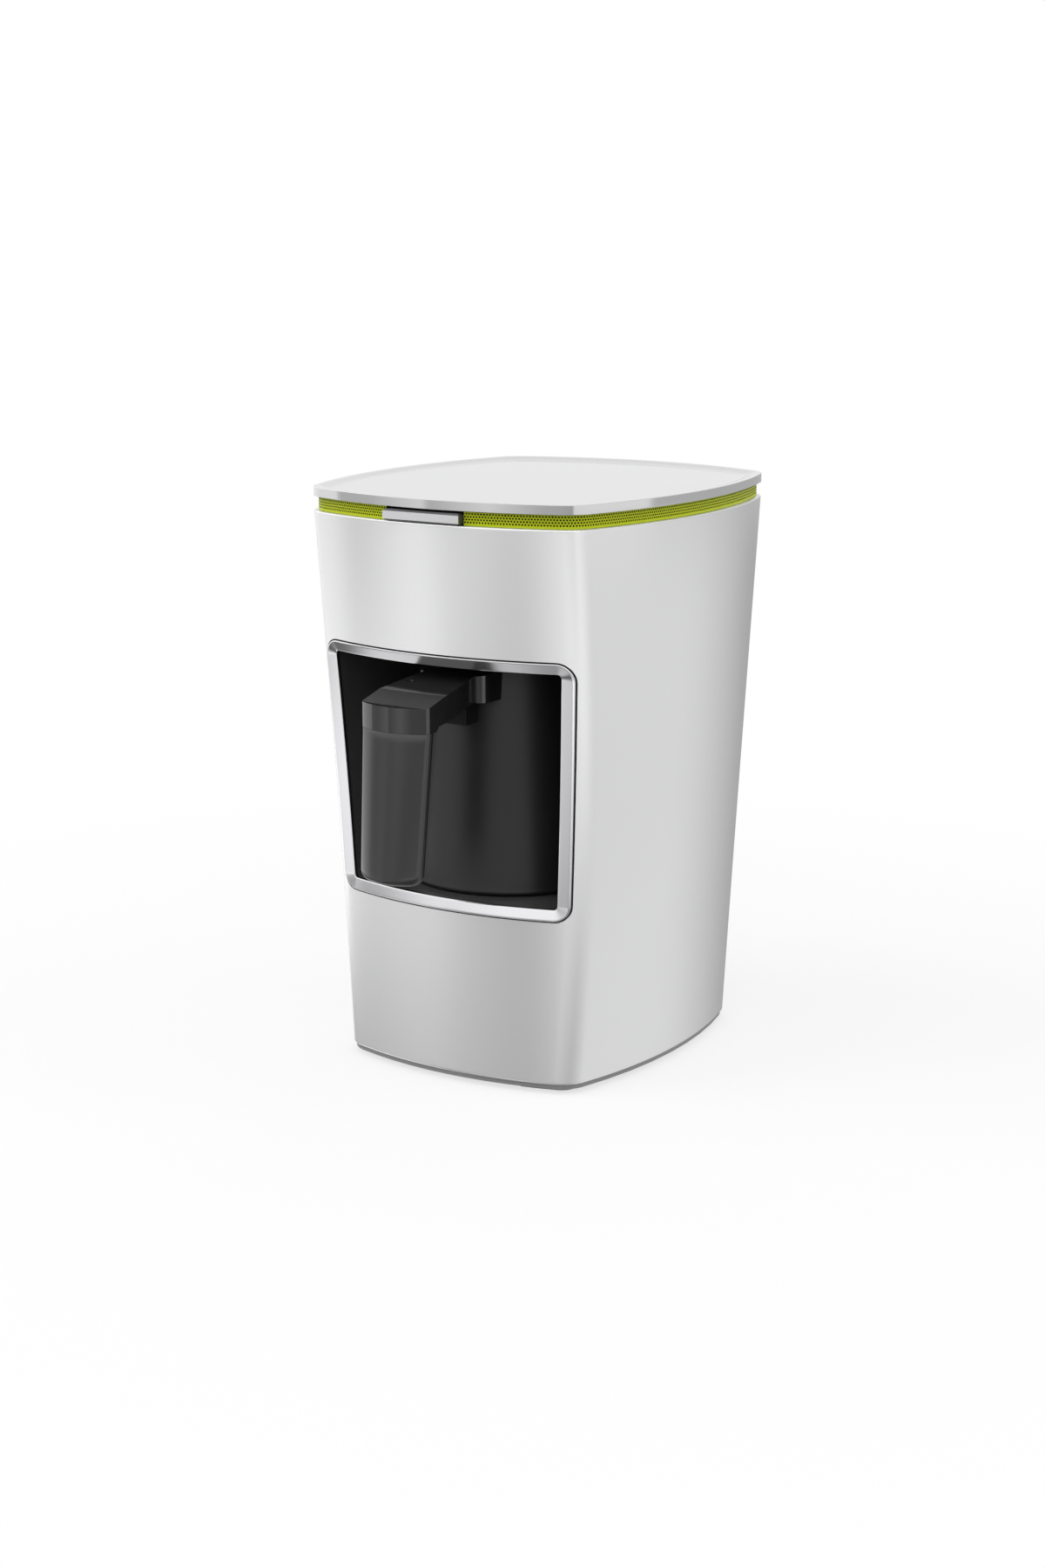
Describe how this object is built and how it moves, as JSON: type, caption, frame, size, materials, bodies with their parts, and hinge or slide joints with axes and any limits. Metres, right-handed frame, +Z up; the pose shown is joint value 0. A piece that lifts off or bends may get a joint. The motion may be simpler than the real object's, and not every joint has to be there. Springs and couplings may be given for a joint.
{
  "type": "electric turkish coffee maker",
  "caption": "Counter-top electric Turkish coffee maker: tapered body with a niche, a plug-in pot that draws straight out of it by its handle, and a flat push bar under the tray lid.",
  "frame": {"origin": "middle of the whole footprint, pot handle included, at the underside of the feet", "axes": "+Z up, the front with the pot's handle towards -Y, +X to the right as seen from the front"},
  "size_m": [0.155, 0.2073, 0.24],
  "materials": {
    "silver_shell": "satin silver-white",
    "lid_plastic": "smooth silver-white",
    "lime_band": "matt lime green with fine holes",
    "frame_plastic": "matt dark grey",
    "chrome_trim": "bright",
    "black_liner": "polished",
    "button_metal": "satin",
    "button_plastic": "matt",
    "base_plastic": "matt dark grey",
    "foot_rubber": "matt",
    "screw_steel": "zinc plated",
    "spring_steel": "drawn wire",
    "circuit_board": "solder mask",
    "chip_black": "matt",
    "ivory_plastic": "matt",
    "led_red": "clear tinted",
    "window_red": "clear dark tint",
    "sensor_blue": "clear dark tint",
    "lead_sleeve": "matt",
    "lead_brown": "matt",
    "transformer_yellow": "tape wound",
    "relay_blue": "matt",
    "capacitor_yellow": "matt",
    "capacitor_sleeve": "shrink sleeve",
    "copper_coil": "enamelled wire",
    "glass_tube": "clear",
    "terminal_green": "matt",
    "white_nylon": "matt",
    "socket_plastic": "matt",
    "contact_brass": "bright",
    "pot_plastic": "polished",
    "plate_steel": "spun",
    "silicone_red": "matt",
    "element_steel": "heat dulled",
    "pin_steel": "bright",
    "arm_plastic": "polished",
    "grip_plastic": "fine matt grain"
  },
  "bodies": {
    "machine": {"body_shell": "silver_shell", "base_plate": "base_plastic", "rubber_feet": "foot_rubber", "base_screws": "screw_steel", "lid_tray": "lid_plastic", "grille_band": "lime_band", "top_frame": "frame_plastic", "top_frame_screws": "screw_steel", "bezel": "chrome_trim", "niche_liner": "black_liner", "liner_screws": "screw_steel", "button_guide": "frame_plastic", "button_springs": "spring_steel", "tact_switch": "chip_black", "control_board": "circuit_board", "control_chip": "chip_black", "control_board_screws": "screw_steel", "status_led": "led_red", "buzzer": "chip_black", "control_lead": "lead_sleeve", "sensor_window": "window_red", "sensor_holder": "frame_plastic", "sensor_board": "circuit_board", "sensor_pair": "sensor_blue", "sensor_screws": "screw_steel", "sensor_lead": "lead_sleeve", "main_board": "circuit_board", "main_board_screws": "screw_steel", "transformer": "transformer_yellow", "relay": "relay_blue", "filter_capacitor": "capacitor_yellow", "electrolytic_capacitors": "capacitor_sleeve", "choke": "copper_coil", "fuse": "glass_tube", "terminal_block": "terminal_green", "lead_header": "white_nylon", "socket_housing": "socket_plastic", "socket_contacts": "contact_brass", "short_screws": "screw_steel", "power_leads": "lead_brown", "cord_gland": "foot_rubber", "cord_clamp": "frame_plastic", "cord_clamp_screws": "screw_steel"},
    "button": {"button_face": "button_metal", "button_body": "button_plastic"},
    "plunger": {"switch_plunger": "ivory_plastic"},
    "pot": {"pot_body": "pot_plastic", "pot_base_cup": "pot_plastic", "base_cup_screws": "screw_steel", "heating_plate": "plate_steel", "plate_seal": "silicone_red", "heating_element": "element_steel", "thermostat": "ivory_plastic", "pot_plug": "socket_plastic", "plug_pins": "pin_steel", "handle_bracket": "arm_plastic", "handle_arm": "arm_plastic", "handle_grip": "grip_plastic", "grip_cover": "grip_plastic", "handle_screws": "screw_steel"}
  },
  "joints": [
    {"name": "button_press", "type": "slide", "parent": "machine", "child": "button", "axis": [0, 1, 0], "range_m": [0, 0.001], "stiffness_N_per_m": 600, "springref_m": -0.001, "deforming": ["button_springs"]},
    {"name": "plunger_press", "type": "slide", "parent": "machine", "child": "plunger", "axis": [0, 1, 0], "range_m": [0, 0.001]},
    {"name": "pot_pull", "type": "slide", "parent": "machine", "child": "pot", "axis": [0, -1, 0], "range_m": [0, 0.15]}
  ],
  "couplings": [
    {"joint": "plunger_press", "follows": "button_press", "ratio": 1}
  ]
}
